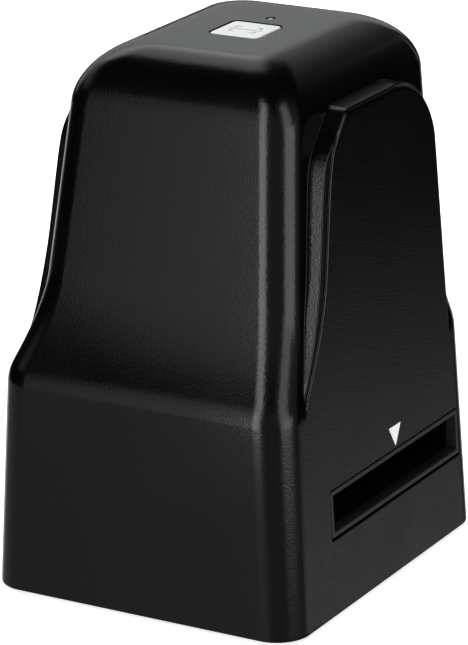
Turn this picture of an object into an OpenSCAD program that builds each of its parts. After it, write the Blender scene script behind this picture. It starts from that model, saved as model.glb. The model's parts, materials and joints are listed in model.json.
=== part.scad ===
// Film negative scanner: a desktop housing over a through slot for film holders, with a
// backlight under the film and a camera that looks down on it. Millimetres, +Z up. The
// origin is the middle of the rubber feet's ground plane; +X is the side the slot opens
// to, -Y is the front. Heights inside the modules count from the housing's lower edge.

/* [Housing] */
// Width of the base at its lower edge
base_w = 86; // [84:0.5:96]
// Depth of the base at its lower edge
base_d = 99; // [98:0.5:112]
// Height of the housing without the feet
body_h = 133.3; // [131:0.1:140]
// Radius of the base's upright corners
base_corner_r = 8.6; // [7.5:0.1:10]
// Wall thickness of the housing
wall = 2.2; // [1.8:0.1:2.6]
// Width that the base's sides lose per unit of height, each side
side_draft = 0.0515; // [0.04:0.0005:0.06]
// Depth that the base's front and back lose per unit of height, each
end_draft = 0.035; // [0.025:0.001:0.045]

/* [Tower] */
// Width of the tower at the top, before its edge is rounded
tower_w = 60.7; // [58:0.1:64]
// How far the tower's front at the top lies behind the base's front edge
tower_front_inset = 23.3; // [20.5:0.1:25.5]
// How far the tower's rear face lies in front of the base's rear edge
tower_back_inset = 3.7; // [2.5:0.1:5]
// Width that the tower's sides gain per unit below the top, each side
tower_side_draft = 0.081; // [0.07:0.001:0.09]
// Depth that the tower's front gains per unit below the top
tower_front_draft = 0.17; // [0.15:0.005:0.19]
// Radius of the tower's upright corners
tower_corner_r = 7.9; // [7:0.1:8.5]
// Radius that rounds the top into the tower's sides
top_r = 13.6; // [12:0.1:16]
// Height where the base starts to turn in
flare_low = 52.7; // [50:0.1:55]
// Height of the bulging part of that turn
flare_bulge_h = 4.6; // [3:0.1:7]
// Height of the hollow part above it, up to the tower
flare_hollow_h = 21.5; // [17:0.1:26]

/* [Side panels] */
// How far the raised side panels' top edge lies below the housing's top
panel_drop = 11.7; // [9:0.1:15]
// Depth of the lower step along the panel's front edge
panel_step = 0.7; // [0.4:0.1:1.2]
// Width of the ledge between the two steps
panel_ledge = 2; // [1.5:0.1:2.5]
// How far the panel's front edge, where it starts to bend, lies behind the tower's front
panel_front_inset = 7.1; // [6:0.1:8]
// How far the panel's rear edge, under its rounding, lies in front of the tower's rear
panel_back_inset = 10; // [9:0.1:12]
// Radius of the panel's upper front corner
panel_front_r = 4; // [2:0.5:6]
// Radius of the panel's upper rear corner
panel_back_r = 18; // [12:0.5:20]

/* [Film slot] */
// Distance from the base's rear edge to the channel that takes the film holder
slot_back = 10.2; // [9.5:0.1:12]
// Height of the slot's middle
slot_z = 25.7; // [25:0.1:28]
// Clear width of the channel that takes the film holder
channel_w = 65; // [62:0.5:66]
// Clear height of the channel that takes the film holder
channel_h = 9.4; // [9:0.1:10.4]
// Visible width of the ring round each slot mouth
bezel_w = 1.15; // [1:0.05:1.6]
// Shadow gap between the ring and the housing
bezel_gap = 0.4; // [0.3:0.05:0.5]
// Length of the film gate window, along the film
gate_l = 37; // [30:0.5:38]
// Width of the film gate window, across the film
gate_w = 25; // [20:0.5:27]

/* [Film channel] */
// Thickness of the channel's floor and roof
guide_floor_t = 2.4; // [2:0.1:3]
// Thickness of the channel's side walls
guide_wall = 4; // [3.8:0.1:4.4]
// Radius of the detent balls
detent_ball_r = 2; // [1.8:0.1:2.2]
// How far a detent ball stands into the channel
detent_lift = 0.8; // [0.6:0.05:0.9]
// Distance of the detent balls from the channel's side walls
detent_inset = 3.7; // [3.4:0.1:4.5]

/* [Backlight] */
// Gap between the backlight board's ends and the channel's legs
lamp_board_gap = 2; // [1:0.1:3]
// Depth of the backlight board
lamp_board_d = 46; // [45:0.5:47]
// Height of the standoffs that carry the backlight board
lamp_standoff_h = 3.3; // [2.5:0.1:4]
// Gap between the light box and the heads of the board's screws
light_box_gap = 1.1; // [0.5:0.1:2]
// Outer depth of the light box
light_box_d = 36; // [34:0.5:36.5]
// Thickness of the opal diffuser
diffuser_t = 2; // [1.5:0.1:2.5]

/* [Camera] */
// Distance from the housing's top down to the plate that carries the main board
camera_drop = 41.3; // [39:0.1:45]
// Outer width of the optical tunnel
tunnel_w = 44; // [42:0.5:45]
// Outer depth of the optical tunnel
tunnel_d = 34; // [32:0.5:35]
// Wall of the optical tunnel
tunnel_wall = 1.8; // [1.4:0.1:2.2]
// Width of the main board
main_board_w = 50; // [48:0.5:52]
// Gap between the main board and the tower's front wall
board_front_gap = 7.2; // [6:0.1:8]
// Thickness of every circuit board
board_t = 1.6; // [1.2:0.1:1.8]
// Radius of the lens barrel
lens_r = 6; // [5.5:0.1:6.4]
// Length of the lens barrel
lens_l = 15; // [13:0.5:17]

/* [Button] */
// Side of the square scan button
button_w = 13.4; // [12.5:0.1:14]
// Gap round the scan button
button_gap = 0.3; // [0.2:0.05:0.4]
// How far the scan button stands above the top
button_proud = 0; // [0:0.05:0.6]
// Place of the scan button along the depth
button_y = 7.6; // [6.5:0.1:8]
// How far the scan button travels
button_travel = 0.5; // [0.3:0.05:0.6]
// Distance from the scan button's middle back to the indicator
indicator_gap = 12.4; // [11.5:0.1:13.5]

/* [Base cover and feet] */
// Height of the feet below the housing's edge
foot_h = 1; // [0.8:0.1:2]
// Radius of a rubber foot
foot_r = 5; // [4:0.1:6]
// Thickness of the bottom cover
cover_t = 2.2; // [2:0.1:2.8]
// Clearance between the bottom cover and the housing
cover_gap = 0.25; // [0.15:0.05:0.35]

/* [Hidden] */

$fn = 48;
eps = 0.01;
fit = 0.02;              // radial clearance of screws, plugs and lenses in their holes
slide_fit = 0.05;        // radial clearance of pieces that move
hole_clear = 0.1;        // radial clearance of a screw's passing hole and of a foot's seat

// Housing skin
corner_steps = 6;        // facets in each upright corner
edge_r = 0.6;            // rounding of the lower edge
panel_wall_draft = 0.35; // lean of the panel's upright walls
panel_lean = 0.19;       // how the panel's front edge leans, per unit of height
panel_curl = 0.009;      // strength of its forward curl over the flare
panel_bend = 0.011;      // strength of its backward bend near the top
panel_bend_h = 18.6;     // height of that bend
panel_back_lean = 0.05;  // how the panel's rear edge leans, per unit of height
panel_top_draft = 0.3;   // rise of the panel's top wall
side_spread = 0.05;      // least distance between the points along a side

// Faces and edges that follow from the sizes above
tower_front = base_d / 2 - tower_front_inset;
tower_back = base_d / 2 - tower_back_inset;
flare_mid = flare_low + flare_bulge_h;
flare_high = flare_mid + flare_hollow_h;
panel_top = body_h - panel_drop;
panel_front = tower_front - panel_front_inset;
panel_back = tower_back - panel_back_inset;
panel_curl_z = flare_high + 7.2;   // below this height the panel's front edge curls forward
panel_curl_end = flare_low + 11.3; // below this height it runs straight again
panel_bend_z = panel_top - panel_bend_h;
slot_y = base_d / 2 - slot_back - channel_w / 2;
detent_y = channel_w / 2 - detent_inset;
indicator_y = button_y + indicator_gap;

// Heights of the stack, from the housing's lower edge
cover_bottom = 0.5;
cover_top = cover_bottom + cover_t;
lamp_board_z = cover_top + lamp_standoff_h;
lamp_board_top = lamp_board_z + board_t;
channel_floor = slot_z - channel_h / 2;
channel_roof = slot_z + channel_h / 2;
guide_bottom = channel_floor - guide_floor_t;
guide_top = channel_roof + guide_floor_t;
guide_split = channel_floor + 0.72 * channel_h;
board_boss_h = 3.5;
camera_z = body_h - camera_drop;
main_board_z = camera_z + board_boss_h;
main_board_top = main_board_z + board_t;
ceiling = body_h - wall;
button_r = 1.6;            // corner radius of the button
button_collar_h = 3.2;
button_collar_t = 1.4;
button_flange_t = 1;
button_flange_z = ceiling - button_collar_h - button_flange_t;
switch_body_h = 3.4;
switch_plunger_h = 1.2;
button_stem_h = 2.3;
button_stem_r = 2.2;
button_flange_w = button_w + 2 * (button_gap + 1);
indicator_r = 1.2;         // hole for the light pipe
indicator_collar_h = 1.2;
indicator_collar_t = 1.7;
pipe_r = 0.9;
button_board_top = button_flange_z - button_stem_h - switch_plunger_h - switch_body_h - eps;
button_board_z = button_board_top - board_t;

// Screws: [shank radius, head radius, head height]
case_screw = [1.25, 2.3, 1.2];
board_screw = [1, 1.9, 1.1];
case_screw_l = 11;
case_hole_l = case_screw_l + 0.6;
guide_screw_l = 10;
board_screw_l = 6;
lamp_screw_l = 5.5;
lamp_hole_l = 4.6;
ear_screw_l = 7;

// Plan sizes
guide_gap = 0.3;           // between the film channel's ends and the housing
guide_half_l = base_w / 2 - side_draft * guide_top - wall - guide_gap;
guide_half_d = channel_w / 2 + guide_wall;
guide_corner_r = guide_wall - 0.5;
bezel_relief = bezel_w / 2;
mark_w = 6.1;              // printed arrow above each mouth
mark_h = 5.2;
mark_t = 0.08;
mark_gap = 0.7;
slot_cut_w = channel_w + 2 * (bezel_w + bezel_gap);
slot_cut_h = channel_h + 2 * (bezel_w + bezel_gap);
corner_boss_inset = 5.3;   // from the wall's inner face to the boss's axis
corner_boss_x = base_w / 2 - wall - corner_boss_inset;
corner_boss_y = base_d / 2 - wall - corner_boss_inset;
corner_boss_r = 3.4;
corner_boss_top = guide_bottom - 1.6;
rib_t = 1.6;               // ribs of the bosses and of the tunnel
leg_r = 3;
leg_x = guide_half_l - leg_r - 0.8;
leg_y = channel_w / 2 - 5.7;
foot_inset_x = 17;         // from the base's lower edge to a foot's middle
foot_inset_y = 13.5;
foot_x = base_w / 2 - foot_inset_x;
foot_y = base_d / 2 - foot_inset_y;
foot_recess = 0.8;
cover_w = base_w - 2 * (side_draft * cover_top + wall + cover_gap);
cover_d = base_d - 2 * (end_draft * cover_top + wall + cover_gap);
cover_r = base_corner_r - wall - cover_gap;
rim_h = 2;
rim_t = 1.4;
rim_clear = 0.8;
standoff_r = 2.8;          // posts that carry a circuit board
label_recess = [46, 24, 0.3];
lamp_screw_edge = 3;
lamp_board_w = 2 * (leg_x - leg_r - lamp_board_gap);
lamp_screw_x = lamp_board_w / 2 - lamp_screw_edge;
lamp_screw_y = lamp_board_d / 2 - lamp_screw_edge;
light_box_w = 2 * (lamp_screw_x - board_screw[1] - light_box_gap);
light_box_wall = 1.8;
light_box_ledge = 1;       // carries the diffuser
diffuser_clear = 0.1;
diffuser_sink = 0.2;
lamp_pitch = 14;
lamp_w = 3.5;
lamp_h = 1;
lamp_dome_h = 0.4;
ear_x = tunnel_w / 2 + 4.4;
ear_y = 10;
ear_t = 3;
ear_r = 3.6;
ear_pad_h = 4;
tunnel_rib_x = 12;
tunnel_rib_d = 2.5;
plate_t = 2;
plate_hole = 18;
board_screw_edge = 4;      // from a board screw to the plate's edge
board_screw_back = 8.3;    // from the main board's rear edge to its rear screws
board_screw_x = main_board_w / 2 - board_screw_edge;
main_board_front = front_y(main_board_z) + wall + board_front_gap;
button_board_w = 32;
button_board_d = 36;
button_board_y = button_y + 2;
button_post_x = 12.5;
button_post_y = 14.5;
button_post_r = 2.6;
tower_rear_inside = back_y(main_board_top) - wall;
main_board_back = tower_rear_inside - 2.5;
board_screw_front_y = main_board_front + board_screw_edge;
board_screw_back_y = main_board_back - board_screw_back;
board_screw_y = (board_screw_back_y - board_screw_front_y) / 2;
plate_y = (board_screw_back_y + board_screw_front_y) / 2;

// Sockets and leads
usb_w = 7.7;
usb_h = 3.9;
usb_l = 9.2;
usb_port_w = 11.5;
usb_port_h = 7.6;
usb_z = main_board_top + usb_h / 2;
connector = [10, 4, 3];
backlight_lead_w = 8;
button_lead_w = 4;
lead_t = 0.4;
lead_rise = 12.7;          // the backlight lead stands upright over this height
lead_front_gap = 4.2;
backlight_lead_x = 10;
button_lead_x = -4;

// Detents
detent_bore_r = detent_ball_r + slide_fit;
detent_lip_t = 0.4;
detent_lip_r = fit
    + sqrt(pow(detent_ball_r, 2) - pow(detent_ball_r - detent_lift - detent_lip_t, 2));
detent_ball_z = channel_floor + detent_lift - detent_ball_r;
detent_spring_l = 5;
detent_plug_t = 1.6;
detent_plug_top = detent_ball_z - detent_ball_r - detent_spring_l;
detent_boss_r = detent_bore_r + 1.2;
spring_wire_r = 0.22;
spring_r = 1.45;
spring_turns = 5;

shell_grey = [0.10, 0.10, 0.105];
trim_grey = [0.16, 0.16, 0.165];
board_green = [0.05, 0.30, 0.16];
steel = [0.72, 0.73, 0.75];
chip_black = [0.06, 0.06, 0.07];

// ---------------------------------------------------------------- housing outline

// Share of the base's outline at a height: 1 in the base, 0 in the tower
function flare(z) =
    z <= flare_low ? 1 :
    z < flare_mid ? 1 - pow(z - flare_low, 2)
        / ((flare_mid - flare_low) * (flare_high - flare_low)) :
    z < flare_high ? pow(flare_high - z, 2)
        / ((flare_high - flare_mid) * (flare_high - flare_low)) : 0;

function mixed(z, base, tower) = tower + flare(z) * (base - tower);

// Base and tower faces at a height, before the top is rounded
function side_plane(z) = base_w / 2 - side_draft * z;
function side_x(z) = mixed(z, side_plane(z), tower_w / 2 + tower_side_draft * (body_h - z));
function front_y(z) =
    -mixed(z, base_d / 2 - end_draft * z, tower_front + tower_front_draft * (body_h - z));
function back_y(z) = mixed(z, base_d / 2 - end_draft * z, tower_back);
function corner_r(z) = mixed(z, base_corner_r, tower_corner_r);

// How far a skin that lies t inside the surface has turned in at the top
function top_inset(z, t) =
    let (rise = z - (body_h - top_r), r = top_r - t)
    rise <= 0 ? 0 : r - sqrt(max(0, r * r - rise * rise));

// Extra inset of the lower edge's rounding, on the outer skin only
function edge_inset(z, t) = t > 0 || z >= edge_r ? 0 : edge_r - sqrt(edge_r * edge_r - pow(edge_r - z, 2));

// How far a corner of radius r has turned back, dz above the start of its rounding
function corner_turn(r, dz) = dz <= 0 ? 0 : r - sqrt(max(0, r * r - dz * dz));

// The panel's front edge: a leaning line that curls forward over the flare
function panel_curl_y(z) =
    z > panel_curl_z ? 0 :
    z > panel_curl_end ? panel_curl * pow(panel_curl_z - z, 2) :
    let (run = panel_curl_z - panel_curl_end) panel_curl * (run * run + 2 * run * (panel_curl_end - z));
function panel_front_y(z) =
    let (zc = max(z, flare_low), up = zc - panel_bend_z)
    -panel_front + panel_lean * up + panel_bend * pow(max(0, up), 2) - panel_curl_y(zc)
    + corner_turn(panel_front_r, zc - (panel_top - panel_front_r));
function panel_back_y(z) =
    let (zc = max(z, flare_low), start = panel_top - panel_back_r)
    panel_back + panel_back_lean * (start - zc) - corner_turn(panel_back_r, zc - start);

// Points of one upright corner, centred at [x, y], from angle a on
function corner(x, y, r, a) =
    [for (i = [0 : corner_steps]) [x + r * cos(a + 90 * i / corner_steps), y + r * sin(a + 90 * i / corner_steps)]];

// Points along the right side, between the corners that end at y = low and high: the
// panel's front walls and ledge, its face and its rear wall
function side_points(z, x, t, low, high) =
    let (
        on = z <= panel_top - t + eps / 10,
        face = on ? max(x, side_plane(z) - t - edge_inset(z, t)) : x,
        step = on ? max(x, side_plane(z) - t - panel_step) : x,
        zp = min(z, panel_top - t),
        front = panel_front_y(zp + t) + t,
        back = panel_back_y(zp + t) - t
    )
    [[x, max(front - panel_ledge - panel_wall_draft, low + side_spread)],
     [step, max(front - panel_ledge, low + 2 * side_spread)],
     [step, max(front - panel_wall_draft, low + 3 * side_spread)],
     [face, max(front, low + 4 * side_spread)],
     [face, min(back, high - 2 * side_spread)],
     [x, min(back + panel_wall_draft, high - side_spread)]];

function mirrored(points) = [for (i = [len(points) - 1 : -1 : 0]) [-points[i][0], points[i][1]]];

// The housing's outline at height z, for a skin t inside the surface
function ring(z, t) =
    let (
        inset = t + top_inset(z, t) + edge_inset(z, t),
        x = side_x(z) - inset,
        yf = front_y(z) + inset,
        yb = back_y(z) - inset,
        r = corner_r(z) - t,
        half = concat(corner(x - r, yf + r, r, -90), side_points(z, x, t, yf + r, yb - r),
            corner(x - r, yb - r, r, 0))
    )
    [for (p = concat(half, mirrored(half))) [p[0], p[1], z]];

// Heights of the rings, bottom to top, for a skin t inside the surface
function ring_heights(t, flare_steps, panel_steps, turn_steps) =
    let (edge = panel_top - t, knee = body_h - top_r, r = top_r - t)
    concat(
        t > 0 ? [0] : [0, edge_r * 0.3, edge_r],
        [flare_low],
        [for (i = [1 : flare_steps]) flare_low + (flare_high - flare_low) * i / flare_steps],
        [panel_curl_z],
        [for (i = [0 : panel_steps - 1]) edge - panel_back_r * (1 - sin(90 * i / panel_steps))],
        [edge, edge + panel_top_draft],
        [for (i = [1 : turn_steps])
            let (h = knee + r * sin(90 * i / turn_steps)) if (h > edge + panel_top_draft + eps) h]
    );

module skin() {
    inner = ring_heights(wall, 8, 4, 6);
    outer = ring_heights(0, 14, 9, 9);
    rings = concat(
        [for (i = [len(inner) - 1 : -1 : 0]) ring(inner[i], wall)],
        [for (z = outer) ring(z, 0)]
    );
    n = len(rings[0]);
    last = len(rings) - 1;
    polyhedron(
        points = [for (r = rings) each r],
        faces = concat(
            [[for (j = [0 : n - 1]) j]],
            [for (i = [0 : last - 1], j = [0 : n - 1])
                let (k = (j + 1) % n) each [[i * n + j, (i + 1) * n + j, (i + 1) * n + k],
                                            [i * n + j, (i + 1) * n + k, i * n + k]]],
            [[for (j = [n - 1 : -1 : 0]) last * n + j]]
        )
    );
}

// ---------------------------------------------------------------- shared shapes

module lift() { translate([0, 0, foot_h]) children(); }

// Places its children at the four corners of a rectangle
module four(x, y, cy = 0) {
    for (sx = [-1, 1], sy = [-1, 1]) translate([sx * x, cy + sy * y, 0]) children();
}

module rounded_square(w, d, r) {
    square([w - 2 * r, d], center = true);
    square([w, d - 2 * r], center = true);
    for (sx = [-1, 1], sy = [-1, 1]) translate([sx * (w / 2 - r), sy * (d / 2 - r)]) circle(r);
}

module rounded_box(w, d, h, r) { linear_extrude(h) rounded_square(w, d, r); }

module centred_box(size) { translate([-size[0] / 2, -size[1] / 2, 0]) cube(size); }

// A cross-head screw that points up, its head's underside at z = 0
module screw(kind, length) {
    difference() {
        union() {
            translate([0, 0, -kind[2]]) cylinder(h = kind[2], r = kind[1]);
            cylinder(h = length, r = kind[0]);
        }
        for (a = [0, 90]) rotate(a) translate([0, 0, -kind[2] - eps])
            centred_box([kind[1] * 1.2, kind[0] * 0.45, kind[2] * 0.6]);
    }
}

// The same screw, pointing down
module screw_down(kind, length) { rotate([180, 0, 0]) screw(kind, length); }

// A flat strip along a path in the y-z plane, w wide along x and t thick
function unit(v) = v / norm(v);
function path_dir(path, i) =
    unit(path[min(i + 1, len(path) - 1)] - path[max(i - 1, 0)]);
function path_side(path, s) =
    [for (i = [0 : len(path) - 1]) let (d = path_dir(path, i)) path[i] + s * [-d[1], d[0]]];
function backwards(list) = [for (i = [len(list) - 1 : -1 : 0]) list[i]];
module strip(path, w, t) {
    rotate([90, 0, 90]) linear_extrude(w, center = true)
        polygon(concat(path_side(path, t / 2), backwards(path_side(path, -t / 2))));
}
// Points of a bend of radius r about a centre, from angle a to angle b
function bend(centre, r, a, b) =
    [for (i = [0 : 4]) centre + r * [cos(a + (b - a) * i / 4), sin(a + (b - a) * i / 4)]];

// ---------------------------------------------------------------- housing

module side_slot_cuts() {
    translate([-base_w, slot_y - slot_cut_w / 2, slot_z - slot_cut_h / 2])
        cube([2 * base_w, slot_cut_w, slot_cut_h]);
}

module corner_bosses() {
    gusset_z = cover_top + rim_h + 0.5;
    gusset_h = corner_boss_top - gusset_z;
    reach_x = base_w / 2 - side_draft * corner_boss_top - wall / 2 - corner_boss_x;
    reach_y = base_d / 2 - end_draft * corner_boss_top - wall / 2 - corner_boss_y;
    for (mx = [0, 1], my = [0, 1]) mirror([mx, 0, 0]) mirror([0, my, 0])
        translate([corner_boss_x, corner_boss_y, 0]) {
            translate([0, 0, cover_top]) cylinder(h = corner_boss_top - cover_top, r = corner_boss_r);
            translate([0, -rib_t / 2, gusset_z]) cube([reach_x, rib_t, gusset_h]);
            translate([-rib_t / 2, 0, gusset_z]) cube([rib_t, reach_y, gusset_h]);
        }
}

module button_posts() {
    translate([0, 0, button_board_top])
        four(button_post_x, button_post_y, button_board_y)
            cylinder(h = ceiling - button_board_top + wall / 2, r = button_post_r);
}

module outer_shell() {
    hole_w = button_w + 2 * button_gap;
    color(shell_grey) lift() difference() {
        union() {
            skin();
            corner_bosses();
            button_posts();
            translate([0, button_y, ceiling - button_collar_h])
                rounded_box(hole_w + 2 * button_collar_t, hole_w + 2 * button_collar_t,
                    button_collar_h + wall / 2, 2.4);
            translate([0, indicator_y, ceiling - indicator_collar_h])
                cylinder(h = indicator_collar_h + wall / 2, r = indicator_r + indicator_collar_t);
        }
        side_slot_cuts();
        translate([0, button_y, ceiling - button_collar_h - eps])
            rounded_box(hole_w, hole_w, button_collar_h + wall + 1, button_r + button_gap);
        translate([0, indicator_y, ceiling - 2]) cylinder(h = wall + 4, r = indicator_r);
        translate([0, tower_back - wall / 2, usb_z]) rotate([90, 0, 0])
            translate([0, 0, -wall]) linear_extrude(2 * wall) rounded_square(usb_port_w, usb_port_h, 1.5);
        translate([0, 0, cover_top - eps]) four(corner_boss_x, corner_boss_y)
            cylinder(h = case_hole_l, r = case_screw[0] + fit);
        translate([0, 0, button_board_top - eps]) four(button_post_x, button_post_y, button_board_y)
            cylinder(h = board_screw_l, r = board_screw[0] + fit);
    }
}

// The printed direction marks above the slot mouths, one on each side
module slot_arrow_marks() {
    mark_z = slot_z + slot_cut_h / 2 + mark_gap;
    color("white") lift() for (m = [0, 1]) mirror([m, 0, 0])
        translate([side_plane(mark_z) + eps, slot_y, mark_z])
            rotate([0, -atan(side_draft), 0]) rotate([90, 0, 90]) linear_extrude(mark_t)
                polygon([[0, 0], [mark_w / 2, mark_h], [-mark_w / 2, mark_h]]);
}

// The ring in a slot mouth: it stands on the film guide's end, flush with the housing
module slot_bezel() {
    ring_w = channel_w + 2 * bezel_w;
    ring_h = channel_h + 2 * bezel_w;
    color(trim_grey) lift() difference() {
        translate([guide_half_l, slot_y - ring_w / 2, slot_z - ring_h / 2])
            cube([base_w / 2 - guide_half_l, ring_w, ring_h]);
        translate([guide_half_l - 1, slot_y - channel_w / 2, channel_floor])
            cube([base_w / 2 - guide_half_l + 2, channel_w, channel_h]);
        translate([guide_half_l - 1, slot_y - channel_w / 2 - bezel_relief, channel_floor - bezel_relief])
            cube([2, channel_w + 2 * bezel_relief, channel_h + 2 * bezel_relief]);
        translate([side_plane(slot_z), 0, slot_z]) rotate([0, -atan(side_draft), 0])
            translate([0, -base_d, -base_w]) cube([base_w, 2 * base_d, 2 * base_w]);
    }
}
module slot_bezel_right() { slot_bezel(); }
module slot_bezel_left() { mirror([1, 0, 0]) slot_bezel(); }

// ---------------------------------------------------------------- base

module bottom_cover() {
    color(shell_grey) lift() difference() {
        union() {
            translate([0, 0, cover_bottom]) rounded_box(cover_w, cover_d, cover_t, cover_r);
            translate([0, 0, cover_top]) difference() {
                rounded_box(cover_w, cover_d, rim_h, cover_r);
                translate([0, 0, -eps]) rounded_box(
                    cover_w - 2 * rim_t, cover_d - 2 * rim_t, rim_h + 1, cover_r - rim_t);
                four(corner_boss_x, corner_boss_y) translate([0, 0, -eps])
                    cylinder(h = rim_h + 1, r = corner_boss_r + rim_clear);
            }
            translate([0, 0, cover_top]) four(lamp_screw_x, lamp_screw_y, slot_y)
                cylinder(h = lamp_standoff_h, r = standoff_r);
        }
        translate([0, 0, cover_bottom - eps]) {
            four(foot_x, foot_y) cylinder(h = foot_recess + eps, r = foot_r + hole_clear);
            four(corner_boss_x, corner_boss_y) case_screw_hole();
            four(leg_x, leg_y, slot_y) case_screw_hole();
            centred_box(label_recess + [0, 0, eps]);
        }
        translate([0, 0, lamp_board_z - lamp_hole_l]) four(lamp_screw_x, lamp_screw_y, slot_y)
            cylinder(h = lamp_hole_l + eps, r = board_screw[0] + fit);
    }
}

// A through hole with a counterbore for a screw head, from below
module case_screw_hole() {
    cylinder(h = cover_t + 1, r = case_screw[0] + hole_clear);
    cylinder(h = case_screw[2] + eps, r = case_screw[1] + 2 * hole_clear);
}

module rubber_feet() {
    color([0.12, 0.12, 0.12]) four(foot_x, foot_y)
        cylinder(h = foot_h + cover_bottom + foot_recess, r = foot_r);
}

module cover_screws() {
    color(steel) lift() translate([0, 0, cover_bottom + case_screw[2]])
        four(corner_boss_x, corner_boss_y) screw(case_screw, case_screw_l);
}

module chassis_screws() {
    color(steel) lift() translate([0, 0, cover_bottom + case_screw[2]])
        four(leg_x, leg_y, slot_y) screw(case_screw, case_screw_l);
}

// ---------------------------------------------------------------- film channel

// The whole channel as a rectangular tube with a window through floor and roof
module channel_tube() {
    difference() {
        translate([0, slot_y, guide_bottom])
            rounded_box(2 * guide_half_l, 2 * guide_half_d, guide_top - guide_bottom, guide_corner_r);
        translate([-base_w, slot_y - channel_w / 2, channel_floor])
            cube([2 * base_w, channel_w, channel_h]);
        translate([-gate_l / 2, slot_y - gate_w / 2, guide_bottom - 1])
            cube([gate_l, gate_w, guide_top - guide_bottom + 2]);
    }
}

module film_guide_lower() {
    color(chip_black) lift() difference() {
        union() {
            intersection() {
                channel_tube();
                translate([-base_w, -base_d, 0]) cube([2 * base_w, 2 * base_d, guide_split]);
            }
            translate([0, 0, cover_top]) four(leg_x, leg_y, slot_y)
                cylinder(h = guide_bottom - cover_top + eps, r = leg_r);
            for (s = [-1, 1]) translate([0, slot_y + s * detent_y, detent_plug_top - detent_plug_t])
                cylinder(h = guide_bottom - detent_plug_top + detent_plug_t + eps, r = detent_boss_r);
        }
        for (s = [-1, 1]) translate([0, slot_y + s * detent_y, 0]) {
            cylinder(h = channel_floor + 1, r = detent_lip_r);
            cylinder(h = channel_floor - detent_lip_t, r = detent_bore_r);
        }
        translate([0, 0, cover_top - eps]) four(leg_x, leg_y, slot_y)
            cylinder(h = case_hole_l, r = case_screw[0] + fit);
        guide_screw_holes();
    }
}

module film_guide_upper() {
    color(chip_black) lift() difference() {
        union() {
            intersection() {
                channel_tube();
                translate([-base_w, -base_d, guide_split]) cube([2 * base_w, 2 * base_d, guide_top]);
            }
            translate([0, 0, guide_top - eps]) four(ear_x, ear_y, slot_y)
                cylinder(h = ear_pad_h + eps, r = ear_r - 0.4);
        }
        guide_screw_holes();
        translate([0, 0, guide_top - 0.8]) four(ear_x, ear_y, slot_y)
            cylinder(h = ear_pad_h + 1, r = board_screw[0] + fit);
    }
}

guide_screw_inset = 8.6;
guide_screw_x = guide_half_l - guide_screw_inset;
guide_screw_y = channel_w / 2 + guide_wall / 2;

module guide_screw_holes() {
    translate([0, 0, guide_top - guide_screw_l - 0.5]) four(guide_screw_x, guide_screw_y, slot_y)
        cylinder(h = guide_screw_l + 1, r = board_screw[0] + fit);
}

module guide_screws() {
    color(steel) lift() translate([0, 0, guide_top])
        four(guide_screw_x, guide_screw_y, slot_y) screw_down(board_screw, guide_screw_l);
}

module detent_ball(s) {
    color(steel) lift() translate([0, slot_y + s * detent_y, detent_ball_z]) sphere(detent_ball_r);
}
module detent_ball_front() { detent_ball(-1); }
module detent_ball_back() { detent_ball(1); }

// A coil spring that stands on z = 0: rings of wire swept along the helix
module coil_spring(r, wire_r, height, turns) {
    sides = 6;
    rings = turns * 12;
    run = height - 2 * wire_r;
    points = [for (i = [0 : rings], j = [0 : sides - 1])
        let (a = 360 * turns * i / rings, b = 360 * j / sides, d = r + wire_r * cos(b))
        [d * cos(a), d * sin(a), wire_r + run * i / rings + wire_r * sin(b)]];
    polyhedron(points = points, faces = concat(
        [[for (j = [0 : sides - 1]) j]],
        [for (i = [0 : rings - 1], j = [0 : sides - 1])
            let (a = i * sides + j, b = i * sides + (j + 1) % sides)
            each [[a, a + sides, b + sides], [a, b + sides, b]]],
        [[for (j = [sides - 1 : -1 : 0]) rings * sides + j]]
    ));
}

module detent_spring(s) {
    color(steel) lift() translate([0, slot_y + s * detent_y, detent_plug_top + eps])
        coil_spring(spring_r, spring_wire_r, detent_spring_l + 0.35, spring_turns);
}
module detent_spring_front() { detent_spring(-1); }
module detent_spring_back() { detent_spring(1); }

module detent_plugs() {
    color(chip_black) lift() for (s = [-1, 1])
        translate([0, slot_y + s * detent_y, detent_plug_top - detent_plug_t])
            cylinder(h = detent_plug_t, r = detent_bore_r - fit);
}

// ---------------------------------------------------------------- backlight

module backlight_board() {
    color(board_green) lift() translate([0, slot_y, lamp_board_z]) difference() {
        rounded_box(lamp_board_w, lamp_board_d, board_t, 1);
        translate([0, 0, -1]) four(lamp_screw_x, lamp_screw_y)
            cylinder(h = board_t + 2, r = board_screw[0] + hole_clear);
    }
}

module backlight_leds() {
    color([0.95, 0.93, 0.75]) lift() for (x = [-1, 0, 1], y = [-1, 1])
        translate([x * lamp_pitch, slot_y + y * lamp_pitch / 2, lamp_board_top]) {
            centred_box([lamp_w, lamp_w, lamp_h]);
            translate([0, 0, lamp_h]) cylinder(h = lamp_dome_h, r1 = 0.4 * lamp_w, r2 = 0.3 * lamp_w);
        }
}

module backlight_screws() {
    color(steel) lift() translate([0, 0, lamp_board_top])
        four(lamp_screw_x, lamp_screw_y, slot_y) screw_down(board_screw, lamp_screw_l);
}

// A white frame with a ledge inside that carries the diffuser
module light_box() {
    h = guide_bottom - lamp_board_top;
    inner_w = light_box_w - 2 * light_box_wall;
    inner_d = light_box_d - 2 * light_box_wall;
    color("white") lift() translate([0, slot_y, lamp_board_top]) difference() {
        rounded_box(light_box_w, light_box_d, h, 2);
        translate([0, 0, -eps]) centred_box([inner_w - 2 * light_box_ledge, inner_d - 2 * light_box_ledge, h + 1]);
        translate([0, 0, h - diffuser_t - diffuser_sink]) centred_box([inner_w, inner_d, h]);
    }
}

module light_diffuser() {
    w = light_box_w - 2 * (light_box_wall + diffuser_clear);
    d = light_box_d - 2 * (light_box_wall + diffuser_clear);
    color([0.93, 0.95, 0.97]) lift()
        translate([0, slot_y, guide_bottom - diffuser_t - diffuser_sink]) centred_box([w, d, diffuser_t]);
}

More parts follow.
